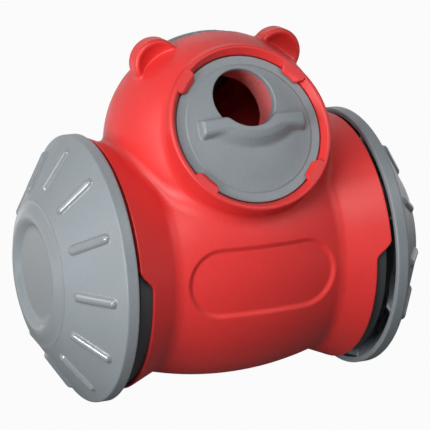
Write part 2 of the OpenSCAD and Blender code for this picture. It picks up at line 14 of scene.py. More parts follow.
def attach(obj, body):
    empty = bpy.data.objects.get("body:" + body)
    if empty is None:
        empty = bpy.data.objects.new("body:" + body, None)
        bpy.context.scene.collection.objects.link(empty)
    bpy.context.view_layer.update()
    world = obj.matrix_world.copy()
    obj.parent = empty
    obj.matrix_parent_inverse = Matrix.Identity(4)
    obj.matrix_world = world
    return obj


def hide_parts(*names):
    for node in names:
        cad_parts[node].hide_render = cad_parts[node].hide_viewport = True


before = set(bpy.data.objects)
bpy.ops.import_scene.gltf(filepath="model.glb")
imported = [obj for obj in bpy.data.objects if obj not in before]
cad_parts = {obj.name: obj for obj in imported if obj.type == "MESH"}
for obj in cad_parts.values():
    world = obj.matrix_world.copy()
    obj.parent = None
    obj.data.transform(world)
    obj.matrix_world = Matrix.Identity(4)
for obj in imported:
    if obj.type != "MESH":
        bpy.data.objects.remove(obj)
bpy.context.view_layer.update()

# ---------------------------------------------------------------- sizes, in millimetres, as in the CAD source
MM = 0.001
AXLE_Z = 50.0
GAP, SLIDE_GAP = 0.2, 0.3
OVER = 1.0  # how far a cut or a root runs past a surface

# The drum: a crowned barrel, flared flanges that are cut back below, and the sunk panel
BARREL_R, GROOVE_R, FLANGE_R = 46.2, 41.5, 48.8
FLANGE_X, GROOVE_X, WALL = 50.3, 33.1, 2.3
NOTCH_TOP, NOTCH_DEPTH, NOTCH_FALL = 11.0, 5.2, 8.0
PANEL_H, PANEL_REACH, PANEL_DEEP, PANEL_Z = 27.0, 16.5, 1.3, 1.2
PANEL_SLOPE = 2.4  # less than the CAD's, because the flank is a smooth step here

# The head and its ears
HEAD_R, HEAD_Z = 42.3, 42.5
EAR_R, EAR_T, EAR_EDGE, EAR_RIM, EAR_DEEP = 9.1, 7.6, 1.5, 1.7, 3.2
EAR_ANGLE, EAR_REACH = math.radians(36.7), 41.2

# The treat port: snout, lip, seat, chute and lugs
PORT_TILT, PORT_Y, PORT_Z = math.radians(30.4), 29.6, 54.5
LIP_R, LIP_IN, LIP_RISE, SNOUT_L = 31.7, 30.1, 2.6, 20.0
RECESS_R, FLOOR_Z, FLOOR_T = 28.4, -2.3, 2.2
CHUTE_R, CHUTE_UP, CHUTE_L, CHUTE_WALL = 14.0, 12.2, 13.3, 1.7
LUG_W, LUG_TIP_W, LUG_TIP, LUG_SLOPE, LUG_FOOT = 9.8, 5.8, 26.3, 1.7, 0.8
LUG_ANGLE = math.radians(41.5)

# The treat cover: flange, dome, hole and grip. Each face of the grip has a set at the flange and a slope.
COVER_R, FLANGE_T, FACE_R, FACE_RISE, COVER_WALL = 28.0, 2.0, 24.0, 2.6, 2.0
HOLE_R, HOLE_UP, COLLAR_T = 11.9, 11.0, 2.4
GRIP_W, GRIP_H, GRIP_UP, GRIP_R, GRIP_LEAN = 5.2, 6.2, 16.0, 20.9, 5.3
GRIP_MID, GRIP_HALF, GRIP_SHIFT, GRIP_CORNER = 1.2, 20.6, 0.8, 2.4
GRIP_BACK_SET, GRIP_BACK_SLOPE = 0.5, 0.1
GRIP_ARM_SET, GRIP_ARM_SLOPE = 1.9, 0.36
GRIP_TIP_SET, GRIP_TIP_SLOPE = 0.7, 0.13

# The rear cover, the neck that it closes, and the tabs, stops and hooks of their lock
FILLER_TILT, FILLER_R, SEAT_D, FILLER_BAND = math.radians(40.0), 26.3, 29.0, 4.4
FILLER_RIBS, RIB_DEEP, RIB_FLANK, LID_WALL = 44, 0.9, 2.2, 2.2
NECK_R, NECK_WALL, NECK_RISE, TAB_T, TAB_IN = 18.6, 2.2, 3.6, 1.5, 1.5
LOCK_STEP, HOOK_SPAN, TAB_SPAN, STOP_TURN = 120.0, 30.3, 44.1, 1.0  # degrees

# Inside the drum: the end caps' seats, their screw pads, and the posts under the weight's cover
PLUG_X, STEP_X, PLUG_R, BAND_R, CAP_PLAY = 40.8, 44.9, 41.5, 44.9, 0.25
PAD_Y, PAD_Z, PAD_R, PAD_L, PAD_FLOOR, PILOT_R = 35.35, 9.47, 3.6, 13.0, 1.0, 1.56
POST_X, POST_Y, POST_R, POST_TOP = 34.6, 17.0, 3.2, -28.33
LID_PILOT_R, LID_PILOT_L = 1.31, 8.0

# The wheels: rim, cone, boss, sockets, bars outside and ribs inside
WHEEL_R, RIM_T, WHEEL_WALL, HUB_R = 50.0, 2.2, 2.2, 27.5
RIM_X, CONE_X, CREASE_X = 51.85, 56.35, 71.85
CONE_TAN = (CREASE_X - CONE_X) / (WHEEL_R - HUB_R)
CONE_LEAN = math.hypot(1, CONE_TAN)
BOSS_X, BOSS_IN, BOSS_STAND, BOSS_R, BORE_R, WEB_T = 64.75, 49.7, 1.1, 9.06, 6.06, 2.4
BAR_COUNT, BAR_IN, BAR_OUT, BAR_R, BAR_SINK = 12, 30.2, 46.2, 2.0, 0.7
RIB_COUNT, RIB_T, RIB_SET, RIB_FLAT, RIB_ROOT = 8, 1.4, 0.3, 3.6, 0.8

# The hub caps. The wheel's skin runs under the cap's edge by CAP_LAP and ends CREASE_DROP below the crease.
SOCKET_R, CAP_EDGE, CAP_T, CAP_LAP, CREASE_DROP = 25.5, 1.5, 1.8, 1.2, 0.04
DISH_R, DISH_LIFT, RING_RISE, RING_FOOT = 17.6, 0.15, 2.0, 0.01
RING_SKEW, RING_POWER = 0.72, 1.7

# Soft creases by width, soft edges and fillets by radius
GROOVE_CREASE, HEAD_CREASE, DOME_CREASE, ARM_CREASE = 1.6, 4.5, 1.0, 1.0
FLANGE_EDGE, SEAT_EDGE, LIP_EDGE, LUG_EDGE, EAR_DISH_EDGE = 0.5, 0.5, 0.8, 0.3, 0.6
HOLLOW_EDGE, FUNNEL_EDGE, CHUTE_EDGE = 0.25, 0.35, 0.3
EAR_FILLET, SNOUT_FILLET, GRIP_FILLET, BAND_FILLET, BAR_FILLET = 1.0, 1.3, 0.5, 0.4, 0.35
COVER_EDGE, HOLE_EDGE, BAND_EDGE = 0.35, 0.6, 0.5
GRIP_ARM_EDGE, GRIP_SIDE_EDGE, GRIP_TOP_EDGE = 1.6, 1.2, 1.3
RIM_EDGE, RIM_BACK_EDGE, RIM_INNER_EDGE = 0.35, 0.5, 0.3


# ---------------------------------------------------------------- distance fields: joining, cutting, rounding
def soft_join(a, b, width):
    """Union with a soft valley of about that width."""
    h = np.maximum(width - np.abs(a - b), 0) / width
    return np.minimum(a, b) - h * h * width / 4


def join(a, b, r):
    """Union with an inner fillet of radius r."""
    return np.maximum(r, np.minimum(a, b)) - np.hypot(np.maximum(r - a, 0), np.maximum(r - b, 0))


def meet(a, b, r):
    """Intersection with an outer edge of radius r."""
    return -join(-a, -b, r)


def cut(a, b, r):
    """a without b, with an edge of radius r."""
    return meet(a, -b, r)


def port_frame(x, y, z):
    """Coordinates across the treat port, up its face and out of it."""
    c, s = math.cos(PORT_TILT), math.sin(PORT_TILT)
    a, b = y + PORT_Y, z - PORT_Z
    return x, s * a + c * b, s * b - c * a


def filler_frame(x, y, z):
    """Coordinates across, down and out of the filler, from the head's middle."""
    c, s = math.cos(FILLER_TILT), math.sin(FILLER_TILT)
    b = z - HEAD_Z
    return x, s * y - c * b, c * y + s * b


# ---------------------------------------------------------------- the red body
def drum(x, y, z):
    """The drum's outside and its hollow, with the end caps' seats."""
    side, r = np.abs(x), np.hypot(y, z)
    crown = BARREL_R - GROOVE_R
    arc_r = (GROOVE_X ** 2 + crown ** 2) / (2 * crown)
    barrel = np.hypot(x, r - (BARREL_R - arc_r)) - arc_r
    slope = (FLANGE_R - GROOVE_R) / (FLANGE_X - GROOVE_X)
    flare = (r - GROOVE_R - slope * (side - GROOVE_X)) / math.hypot(1, slope)
    inner = np.minimum(barrel, flare) + WALL
    stadium = np.hypot(np.maximum(side - PANEL_REACH, 0), z - PANEL_Z) - PANEL_H / 2
    t = np.clip(-stadium / PANEL_SLOPE, 0, 1) * (y < 0)
    outer = soft_join(barrel, flare, GROOVE_CREASE) + PANEL_DEEP * t * t * (3 - 2 * t)
    t = np.clip((NOTCH_TOP - z) / NOTCH_FALL, 0, 1)
    end = FLANGE_X - NOTCH_DEPTH * (1 - np.cos(math.pi * t)) / 2
    steep = NOTCH_DEPTH * math.pi / 2 / NOTCH_FALL * np.sin(math.pi * t)
    outer = meet(outer, (side - end) / np.hypot(1, steep), FLANGE_EDGE)
    bore = np.maximum(inner, side - PLUG_X)
    seats = np.minimum(np.maximum(r - PLUG_R - CAP_PLAY, PLUG_X - GAP - side),
                       np.maximum(r - BAND_R - CAP_PLAY, STEP_X - GAP - side))
    return outer, np.minimum(bore, seats)


def ear(x, y, z):
    """Both ears: round-edged discs, dished in front."""
    side = np.abs(x) - EAR_REACH * math.sin(EAR_ANGLE)
    r = np.hypot(side, z - HEAD_Z - EAR_REACH * math.cos(EAR_ANGLE))
    a, b = r - EAR_R + EAR_EDGE, np.abs(y) - EAR_T / 2 + EAR_EDGE
    disc = np.minimum(np.maximum(a, b), 0) + np.hypot(np.maximum(a, 0), np.maximum(b, 0)) - EAR_EDGE
    dish = EAR_R - EAR_RIM
    ball = (dish ** 2 + EAR_DEEP ** 2) / (2 * EAR_DEEP)
    return cut(disc, np.hypot(r, y + EAR_T / 2 - EAR_DEEP + ball) - ball, EAR_DISH_EDGE)


def lugs(u, v, w):
    """The four lugs that hold the treat cover, in the port's frame."""
    r = np.hypot(u, v)
    c, s = math.cos(LUG_ANGLE), math.sin(LUG_ANGLE)
    along, across = np.abs(u) * c + np.abs(v) * s, np.abs(np.abs(v) * c - np.abs(u) * s)
    spread = (LUG_W - LUG_TIP_W) / 2 / (RECESS_R - LUG_TIP)
    plan = np.maximum(across - LUG_W / 2,
                      (across - LUG_TIP_W / 2 - spread * (along - LUG_TIP)) / math.hypot(1, spread))
    rise = LIP_RISE - SLIDE_GAP - LUG_FOOT
    slope = ((LUG_TIP - r) * rise + (w - SLIDE_GAP - LUG_FOOT) * LUG_SLOPE) / math.hypot(rise, LUG_SLOPE)
    top = meet(slope, w - LIP_RISE, LUG_EDGE)
    ring = np.maximum(np.maximum(SLIDE_GAP - w, r - (LIP_IN + LIP_R) / 2), LUG_TIP - r)
    return meet(meet(ring, plan, LUG_EDGE), top, LUG_EDGE)


def lock_turn(u, v):
    """The angle in degrees from the nearest of the lock's places."""
    return np.mod(np.degrees(np.arctan2(v, u)) + LOCK_STEP / 2, LOCK_STEP) - LOCK_STEP / 2


def neck(x, y, z):
    """The filler's neck, with the lock's tabs and stops."""
    u, v, w = filler_frame(x, y, z)
    r = np.hypot(u, v)
    out, above = NECK_R + NECK_WALL, w - SEAT_D - NECK_RISE
    tube = np.maximum(np.maximum(r - out, NECK_R - r), np.maximum(SEAT_D - WALL - w, above))
    turn = lock_turn(u, v)
    arc = math.pi / 180 * (out + TAB_IN)
    ring = np.maximum(r - out - TAB_IN, out - NECK_WALL / 2 - r)
    tab = np.maximum((np.abs(turn) - TAB_SPAN / 2) * arc,
                     np.maximum(SEAT_D + NECK_RISE - TAB_T - w, above))
    stop_end = (TAB_SPAN - HOOK_SPAN) / 2 - STOP_TURN
    stop = np.maximum(np.maximum(-turn - TAB_SPAN / 2, turn + TAB_SPAN / 2 - stop_end) * arc,
                      np.maximum(SEAT_D - WALL / 2 - w, above + TAB_T / 2))
    return np.minimum(tube, np.maximum(ring, np.minimum(tab, stop)))


def bosses(x, y, z):
    """The screw pads behind the end caps and the posts under the weight's cover."""
    side = np.abs(x)
    r = np.hypot(np.abs(y) - PAD_Y, np.abs(z) - PAD_Z)
    start = PLUG_X - PAD_L
    pad = np.maximum(np.maximum(r - PAD_R, start - side), side - PLUG_X + GAP)
    pad = np.maximum(pad, -np.maximum(r - PILOT_R, start + PAD_FLOOR - side))
    r = np.hypot(side - POST_X, np.abs(y) - POST_Y)
    post = np.maximum(np.maximum(r - POST_R, z - POST_TOP), np.hypot(y, z) - GROOVE_R + WALL / 2)
    post = np.maximum(post, -np.maximum(r - LID_PILOT_R, POST_TOP - LID_PILOT_L - z))
    return np.minimum(pad, post)


def body(x, y, z):
    """The whole red shell."""
    outer, hollow = drum(x, y, z)
    u, v, w = port_frame(x, y, z)
    r = np.hypot(u, v)
    fu, fv, fw = filler_frame(x, y, z)
    ball = np.sqrt(x * x + y * y + (z - HEAD_Z) ** 2)
    head = join(meet(ball - HEAD_R, fw - SEAT_D, SEAT_EDGE), ear(x, y, z), EAR_FILLET)
    snout = np.maximum(meet(r - LIP_R, w - LIP_RISE, LIP_EDGE), -SNOUT_L - w)
    solid = join(soft_join(outer, head, HEAD_CREASE), snout, SNOUT_FILLET)
    room = np.minimum(ball - HEAD_R + WALL, np.maximum(r - RECESS_R, np.maximum(w, -SNOUT_L - w)))
    room = np.maximum(room, np.maximum(w - FLOOR_Z + FLOOR_T, fw - SEAT_D + WALL))
    hollow = np.minimum(hollow, room)
    cone = (LIP_IN - RECESS_R) / LIP_RISE
    funnel = np.minimum(r - RECESS_R, (r - RECESS_R - cone * w) / math.hypot(1, cone))
    solid = cut(cut(solid, hollow, HOLLOW_EDGE), np.maximum(funnel, FLOOR_Z - w), FUNNEL_EDGE)
    chute = np.hypot(u, v - CHUTE_UP) - CHUTE_R
    back = FLOOR_Z - FLOOR_T - CHUTE_L
    tube = np.maximum(chute - CHUTE_WALL, np.maximum(back - w, w - FLOOR_Z + FLOOR_T / 2))
    solid = np.minimum(np.minimum(solid, tube), np.minimum(neck(x, y, z), bosses(x, y, z)))
    bore = np.maximum(chute, np.maximum(back - OVER - w, w - FLOOR_Z - OVER))
    solid = cut(solid, bore, CHUTE_EDGE)
    solid = np.maximum(solid, -np.maximum(np.hypot(fu, fv) - NECK_R, SEAT_D / 2 - fw))
    return np.minimum(solid, lugs(u, v, w))


# ---------------------------------------------------------------- the treat cover, in the port's frame
def treat_cover(u, v, w):
    """The dial: flange, thin dome with its collar round the hole, and the smile-shaped grip."""
    r = np.hypot(u, v)
    disc = np.maximum(meet(r - COVER_R, w, COVER_EDGE), -FLANGE_T - w)
    dome_r = (FACE_R ** 2 + FACE_RISE ** 2) / (2 * FACE_RISE)
    ball = np.hypot(r, w - FACE_RISE + dome_r) - dome_r
    dome = np.maximum(np.maximum(ball, -FLANGE_T / 2 - w), r - FACE_R)
    solid = soft_join(disc, dome, DOME_CREASE)
    gu, half = u - GRIP_SHIFT, GRIP_W / 2
    # The smile's lower face leans by 45 degrees
    arc = (np.hypot(gu, v - GRIP_UP) - GRIP_R - GRIP_LEAN + w) * math.sqrt(0.5)
    arc = np.maximum(arc, np.abs(gu) - GRIP_HALF + GRIP_CORNER)
    back = v - GRIP_MID - half - GRIP_BACK_SET + GRIP_BACK_SLOPE * w
    front = (GRIP_MID - half - GRIP_ARM_SET + GRIP_ARM_SLOPE * w - v) / math.hypot(1, GRIP_ARM_SLOPE)
    tip = np.abs(gu) - GRIP_HALF - GRIP_TIP_SET + GRIP_TIP_SLOPE * w
    arm = meet(front, tip, GRIP_ARM_EDGE)
    top = np.hypot(np.hypot(gu, v), w - GRIP_H + dome_r) - dome_r
    grip = meet(soft_join(arc, arm, ARM_CREASE), back, GRIP_SIDE_EDGE)
    grip = meet(grip, np.maximum(tip, -w - OVER), GRIP_SIDE_EDGE)
    solid = join(solid, meet(grip, top, GRIP_TOP_EDGE), GRIP_FILLET)
    hole = np.hypot(u, v - HOLE_UP)
    inside = np.maximum(np.maximum(ball + COVER_WALL, r - FACE_R + COVER_WALL), HOLE_R + COLLAR_T - hole)
    return cut(np.maximum(solid, -inside), hole - HOLE_R, HOLE_EDGE)


# ---------------------------------------------------------------- the rear cover, in the filler's frame
def rear_cover(u, v, w):
    """The ribbed band, its dome on the head's ball, and the lock's hooks."""
    r = np.hypot(u, v)
    ball = np.hypot(r, w) - HEAD_R
    low, inner = SEAT_D + SLIDE_GAP, FILLER_R - RIB_DEEP
    wave = np.cos(np.arctan2(v, u) * FILLER_RIBS)
    edge = inner + RIB_DEEP / 2 * (1 + np.clip(RIB_FLANK * wave, -1, 1))
    band = meet(np.maximum(r - edge, low - w), w - SEAT_D - FILLER_BAND, BAND_EDGE)
    dome = np.maximum(np.maximum(ball, r - inner), SEAT_D + OVER - w)
    skirt = r - NECK_R - NECK_WALL - TAB_IN - SLIDE_GAP
    room = np.maximum(ball + LID_WALL, np.maximum(skirt, low - OVER - w))
    solid = np.maximum(join(band, dome, BAND_FILLET), -room)
    start = NECK_R + NECK_WALL + SLIDE_GAP
    hook = np.maximum(np.maximum(r - start - TAB_IN - RIB_DEEP, start - r),
                      np.maximum(low - w, w - SEAT_D - NECK_RISE + TAB_T + SLIDE_GAP))
    ends = (np.abs(lock_turn(u, v)) - HOOK_SPAN / 2) * math.pi / 180 * start
    return np.minimum(solid, np.maximum(hook, ends))


# ---------------------------------------------------------------- a wheel, X outwards along the axle
def bar_of(x, y, z):
    """The raised bars on the cone."""
    r, angle = np.hypot(y, z), np.arctan2(z, y)
    step = 2 * math.pi / BAR_COUNT
    turn = np.mod(angle + step / 2, step) - step / 2
    s, t = r * np.cos(turn), r * np.sin(turn)
    s0 = BAR_IN + BAR_R
    x0 = CONE_X + (WHEEL_R - s0) * CONE_TAN - BAR_SINK
    length = (BAR_OUT - BAR_IN - 2 * BAR_R) * CONE_LEAN
    along = np.clip(((s - s0) - (x - x0) * CONE_TAN) / CONE_LEAN, 0, length)
    return np.sqrt((s - s0 - along / CONE_LEAN) ** 2 + t * t
                   + (x - x0 + along * CONE_TAN / CONE_LEAN) ** 2) - BAR_R


def wheel(x, y, z):
    """Rim and cone, the boss and its web, the hub cap's sockets, and the ribs inside."""
    r = np.hypot(y, z)
    drop = WHEEL_WALL * CONE_LEAN
    depth = x - CONE_X - (WHEEL_R - r) * CONE_TAN
    rim_in, wall_r, web_x = WHEEL_R - RIM_T, SOCKET_R + WHEEL_WALL, BOSS_X - WEB_T
    solid = meet(meet(depth / CONE_LEAN, r - WHEEL_R, RIM_EDGE), RIM_X - x, RIM_BACK_EDGE)
    solid = cut(solid, np.maximum(r - rim_in, (depth + drop) / CONE_LEAN), RIM_INNER_EDGE)
    solid = np.maximum(solid, SOCKET_R - r)
    inner_face = (depth + drop / 2) / CONE_LEAN
    tube = np.maximum(np.maximum(r - wall_r, SOCKET_R - OVER - r), np.maximum(inner_face, web_x - x))
    web = np.maximum(r - wall_r, np.maximum(web_x - x, x - BOSS_X))
    boss = np.maximum(r - BOSS_R, np.maximum(BOSS_IN - x, x - BOSS_X - BOSS_STAND))
    solid = np.minimum(np.minimum(solid, tube), np.minimum(web, boss))
    sockets = np.minimum(np.maximum(r - HUB_R + CAP_LAP, CREASE_X - CAP_EDGE - x),
                         np.maximum(r - SOCKET_R, BOSS_X + BOSS_STAND - x))
    sockets = np.minimum(sockets, np.maximum(np.maximum(r - SOCKET_R, BOSS_R - r), BOSS_X - x))
    solid = np.maximum(np.maximum(solid, -sockets), np.maximum(BORE_R - r, x - CREASE_X + CREASE_DROP))
    step = 2 * math.pi / RIB_COUNT
    turn = np.mod(np.arctan2(z, y), step) - step / 2
    s, t = r * np.cos(turn), np.abs(r * np.sin(turn))
    foot_x = RIM_X + RIB_SET
    line = (web_x - RIM_X - RIB_SET) / (rim_in - RIB_FLAT - wall_r + RIB_ROOT)
    rib = np.maximum(np.maximum(t - RIB_T / 2, foot_x - x),
                     np.maximum(wall_r - RIB_ROOT - s, s - rim_in - RIB_ROOT))
    back = (foot_x + line * (rim_in - RIB_FLAT - s) - x) / math.hypot(1, line)
    rib = np.maximum(rib, np.maximum(inner_face, back))
    return join(np.minimum(solid, rib), bar_of(x, y, z), BAR_FILLET)


# ---------------------------------------------------------------- meshing a field
BLOCK = 4  # grid points along each side of a block
NEAR = 0.4  # how much further than its own size a block looks for the surface
SLOPE_STEP, LEAST_SLOPE = 0.04, 0.2
TINY = 1e-9


def sample(field, low, high, h):
    """The field on a grid, worked out only in blocks near the surface."""
    counts = [int(math.ceil((b - a) / h / BLOCK)) * BLOCK for a, b in zip(low, high)]
    axes = [(a + h * np.arange(n)).astype(np.float32) for a, n in zip(low, counts)]
    mids = [(a + h * (BLOCK * np.arange(n // BLOCK) + (BLOCK - 1) / 2)).astype(np.float32)
            for a, n in zip(low, counts)]
    coarse = field(mids[0][:, None, None], mids[1][None, :, None], mids[2][None, None, :])
    coarse = coarse.astype(np.float32)
    spread = np.ones((BLOCK, BLOCK, BLOCK), np.float32)
    near = np.kron(np.abs(coarse) < BLOCK * h + NEAR, spread.astype(bool))
    values = np.kron(coarse, spread)
    i, j, k = np.nonzero(near)
    values[near] = field(axes[0][i], axes[1][j], axes[2][k])
    return values


def net(values, low, h):
    """A quad mesh of the zero surface: a point in each cell that it crosses, a quad for each crossed edge."""
    inside = values < 0
    corners = [(a, b, c) for a in (0, 1) for b in (0, 1) for c in (0, 1)]
    n = [m - 1 for m in values.shape]
    total = sum(inside[a:a + n[0], b:b + n[1], c:c + n[2]].astype(np.int8) for a, b, c in corners)
    mixed = (total > 0) & (total < len(corners))
    cells = np.argwhere(mixed)
    ids = np.full(mixed.shape, -1, np.int64)
    ids[mixed] = np.arange(len(cells))
    at = {c: values[tuple((cells + c).T)] for c in corners}
    point, weight = np.zeros((len(cells), 3)), np.zeros(len(cells))
    for a in corners:
        for axis in range(3):
            if a[axis]:
                continue
            b = tuple(1 if i == axis else a[i] for i in range(3))
            crossed = (at[a] < 0) != (at[b] < 0)
            t = at[a][crossed] / (at[a][crossed] - at[b][crossed])
            spot = np.repeat(np.array([a], float), crossed.sum(), 0)
            spot[:, axis] = t
            point[crossed] += spot
            weight[crossed] += 1
    point = (cells + point / weight[:, None]) * h + np.array(low)
    quads = []
    unit = np.eye(3, dtype=int)
    for axis in range(3):
        p, q = [i for i in range(3) if i != axis]
        first, second = [slice(None)] * 3, [slice(None)] * 3
        first[axis], second[axis] = slice(0, -1), slice(1, None)
        edges = np.argwhere(inside[tuple(first)] != inside[tuple(second)])
        edges = edges[(edges[:, p] > 0) & (edges[:, q] > 0) & (edges[:, p] < n[p]) & (edges[:, q] < n[q])]
        loop = [ids[tuple((edges - shift).T)] for shift in (unit[p] + unit[q], unit[q], 0 * unit[p], unit[p])]
        quad = np.stack(loop, 1)
        flip = inside[tuple(edges.T)] == (axis == 1)
        quad[flip] = quad[flip][:, ::-1]
        quads.append(quad)
    return point, np.concatenate(quads)


def slope_of(field, points):
    """The field's direction of steepest rise."""
    rise = np.empty_like(points)
    for axis in range(3):
        shift = np.zeros(3)
        shift[axis] = SLOPE_STEP
        rise[:, axis] = field(*(points + shift).T) - field(*(points - shift).T)
    return rise / (2 * SLOPE_STEP)


def settle(field, points, rounds, reach):
    """Moves points onto the zero surface, each by no more than reach in a round."""
    for _ in range(rounds):
        rise = slope_of(field, points)
        size = np.maximum((rise ** 2).sum(1), LEAST_SLOPE)
        move = -rise * (field(*points.T) / size)[:, None]
        far = np.linalg.norm(move, axis=1)
        points = points + move * np.minimum(1, reach / np.maximum(far, TINY))[:, None]
    return points


def mesh_of(name, points, faces):
    """A mesh from arrays of points and of equal faces."""
    mesh = bpy.data.meshes.new(name)
    mesh.vertices.add(len(points))
    mesh.vertices.foreach_set("co", points.astype(np.float32).ravel())
    mesh.loops.add(faces.size)
    mesh.loops.foreach_set("vertex_index", faces.astype(np.int32).ravel())
    mesh.polygons.add(len(faces))
    mesh.polygons.foreach_set("loop_start", np.arange(len(faces), dtype=np.int32) * faces.shape[1])
    mesh.update(calc_edges=True)
    mesh.validate()
    return mesh


def moulded(name, field, low, high, h, keep, place):
    """A piece from its field: meshed, thinned out to the share keep, set on the surface and placed."""
    points, quads = net(sample(field, low, high, h), low, h)
    points = settle(field, points, rounds=2, reach=h / 2)
    thick = mesh_of(name, points, quads)
    obj = bpy.data.objects.new(name, thick)
    bpy.context.scene.collection.objects.link(obj)
    thin = obj.modifiers.new("thin", "DECIMATE")
    thin.ratio = keep
    mesh = bpy.data.meshes.new_from_object(obj.evaluated_get(bpy.context.evaluated_depsgraph_get()))
    obj.modifiers.clear()
    obj.data = mesh
    bpy.data.meshes.remove(thick)
    mesh.name = name
    co = np.empty(len(mesh.vertices) * 3, np.float32)
    mesh.vertices.foreach_get("co", co)
    points = settle(field, co.reshape(-1, 3).astype(float), rounds=1, reach=h / 4)
    normal = slope_of(field, points)
    normal /= np.maximum(np.linalg.norm(normal, axis=1), TINY)[:, None]
    turn = np.array(place.to_3x3())
    if place.determinant() < 0:
        mesh.flip_normals()
    spot = (points @ turn.T + np.array(place.translation)) * MM
    mesh.vertices.foreach_set("co", spot.astype(np.float32).ravel())
    mesh.polygons.foreach_set("use_smooth", np.ones(len(mesh.polygons), bool))
    mesh.update()
    mesh.normals_split_custom_set_from_vertices(normal @ turn.T)
    return obj


LATHE_STEPS = 160
MERGE_DIST = 1e-7  # metres
SHARP_EDGE = math.radians(32)


def lathe(name, outline, place):
    """A closed ring or cap from an outline of (x, radius), smooth apart from its sharp corners."""
    points, faces = [], []
    for i in range(LATHE_STEPS):
        a = 2 * math.pi * i / LATHE_STEPS
        points += [place @ Vector((x, r * math.cos(a), r * math.sin(a))) * MM for x, r in outline]
    count = len(outline)
    for i in range(LATHE_STEPS):
        for k in range(count - 1):
            a, b = i * count + k, ((i + 1) % LATHE_STEPS) * count + k
            faces.append((a, b, b + 1, a + 1))
    mesh = bpy.data.meshes.new(name)
    mesh.from_pydata(points, [], faces)
    obj = bpy.data.objects.new(name, mesh)
    bpy.context.scene.collection.objects.link(obj)
    bm = bmesh.new()
    bm.from_mesh(mesh)
    bmesh.ops.remove_doubles(bm, verts=bm.verts, dist=MERGE_DIST)
    bmesh.ops.recalc_face_normals(bm, faces=bm.faces)
    for face in bm.faces:
        face.smooth = True
    for edge in bm.edges:
        edge.smooth = len(edge.link_faces) == 2 and edge.calc_face_angle(0) < SHARP_EDGE
    bm.to_mesh(mesh)
    bm.free()
    return obj


# ---------------------------------------------------------------- materials
NOISE_RANGE = (0.3, 0.7)  # the part of a noise's values that is spread over the whole range
GRAIN_MM, GRAIN_DEEP = 0.45, 0.03
SPECK_SHARE = 0.7  # of the colour's change: the fine specks, and the rest is broad mottling
SPECK_SCALE, MOTTLE_MM = 1.6, 14
GLOSS_MM, GLOSS_CHANGE = 6, 0.04


def feed(tree, source, socket):
    """Sets a socket to a number or links another node's output to it."""
    if isinstance(source, bpy.types.NodeSocket):
        tree.links.new(source, socket)
    else:
        socket.default_value = source


def maths(tree, operation, *sources):
    """The result of a Math node on numbers or other nodes' outputs."""
    node = tree.nodes.new("ShaderNodeMath")
    node.operation = operation
    for source, socket in zip(sources, node.inputs):
        feed(tree, source, socket)
    return node.outputs[0]


def spread(tree, source, start, end, low, high, kind="LINEAR"):
    """Maps start to end onto low to high."""
    node = tree.nodes.new("ShaderNodeMapRange")
    node.interpolation_type = kind
    for name, value in (("From Min", start), ("From Max", end), ("To Min", low), ("To Max", high)):
        node.inputs[name].default_value = value
    tree.links.new(source, node.inputs["Value"])
    return node.outputs["Result"]


def plastic(name, colour, rough, grain=1.0, shade=0.06, grain_mm=GRAIN_MM, specular=0.5):
    """Moulded plastic: a fine spark-eroded grain, slight mottling in the colour and in the gloss."""
    mat = bpy.data.materials.new(name)
    mat.use_nodes = True
    tree = mat.node_tree
    shader = tree.nodes["Principled BSDF"]
    shader.inputs["Specular IOR Level"].default_value = specular
    where = tree.nodes.new("ShaderNodeTexCoord")

    def noise(size_mm, detail):
        node = tree.nodes.new("ShaderNodeTexNoise")
        node.inputs["Scale"].default_value = 1 / (size_mm * MM)
        node.inputs["Detail"].default_value = detail
        tree.links.new(where.outputs["Object"], node.inputs["Vector"])
        return node.outputs["Fac"]

    tint = tree.nodes.new("ShaderNodeMix")
    tint.data_type = "RGBA"
    tint.inputs["A"].default_value = [c * (1 - shade) for c in colour] + [1]
    tint.inputs["B"].default_value = [min(1, c * (1 + shade)) for c in colour] + [1]
    specks = spread(tree, noise(grain_mm * SPECK_SCALE, detail=2), *NOISE_RANGE, 0, SPECK_SHARE)
    mottle = spread(tree, noise(MOTTLE_MM, detail=2), *NOISE_RANGE, 0, 1 - SPECK_SHARE)
    tree.links.new(maths(tree, "ADD", specks, mottle), tint.inputs["Factor"])
    tree.links.new(tint.outputs["Result"], shader.inputs["Base Color"])
    gloss = spread(tree, noise(GLOSS_MM, detail=3), *NOISE_RANGE, rough - GLOSS_CHANGE, rough + GLOSS_CHANGE)
    tree.links.new(gloss, shader.inputs["Roughness"])
    bump = tree.nodes.new("ShaderNodeBump")
    bump.inputs["Strength"].default_value = grain
    bump.inputs["Distance"].default_value = GRAIN_DEEP * MM
    tree.links.new(noise(grain_mm, detail=1), bump.inputs["Height"])
    tree.links.new(bump.outputs["Normal"], shader.inputs["Normal"])
    return mat


def metal(name, colour, rough, brushed):
    """Turned or cast metal with fine marks."""
    mat = plastic(name, colour, rough, grain=brushed, shade=0.12, grain_mm=0.3)
    mat.node_tree.nodes["Principled BSDF"].inputs["Metallic"].default_value = 1.0
    return mat


RED = plastic("red_plastic", (0.70, 0.032, 0.030), 0.42, grain=0.9)
# A paler copy of the red, painted on the chute's inner wall: painted light, standing in for the light that
# falls into the chute and brightens its wall
RED_CHUTE_PAINTED_LIGHT = plastic("red_chute_painted_light", (0.9, 0.22, 0.22), 0.3, grain=0.2)
GREY = plastic("grey_plastic", (0.235, 0.262, 0.282), 0.36, grain=0.8)
GREY_GLOSS = plastic("grey_gloss", (0.22, 0.246, 0.265), 0.09, grain=0.08, specular=1.0)
GREY_DIAL = plastic("grey_dial", (0.225, 0.253, 0.272), 0.36, grain=0.8)
DARK = plastic("dark_plastic", (0.05, 0.056, 0.06), 0.5, grain=0.6)
STEEL = metal("screw_steel", (0.62, 0.62, 0.64), 0.28, 0.3)
IRON = metal("weight_iron", (0.12, 0.12, 0.125), 0.6, 1.0)


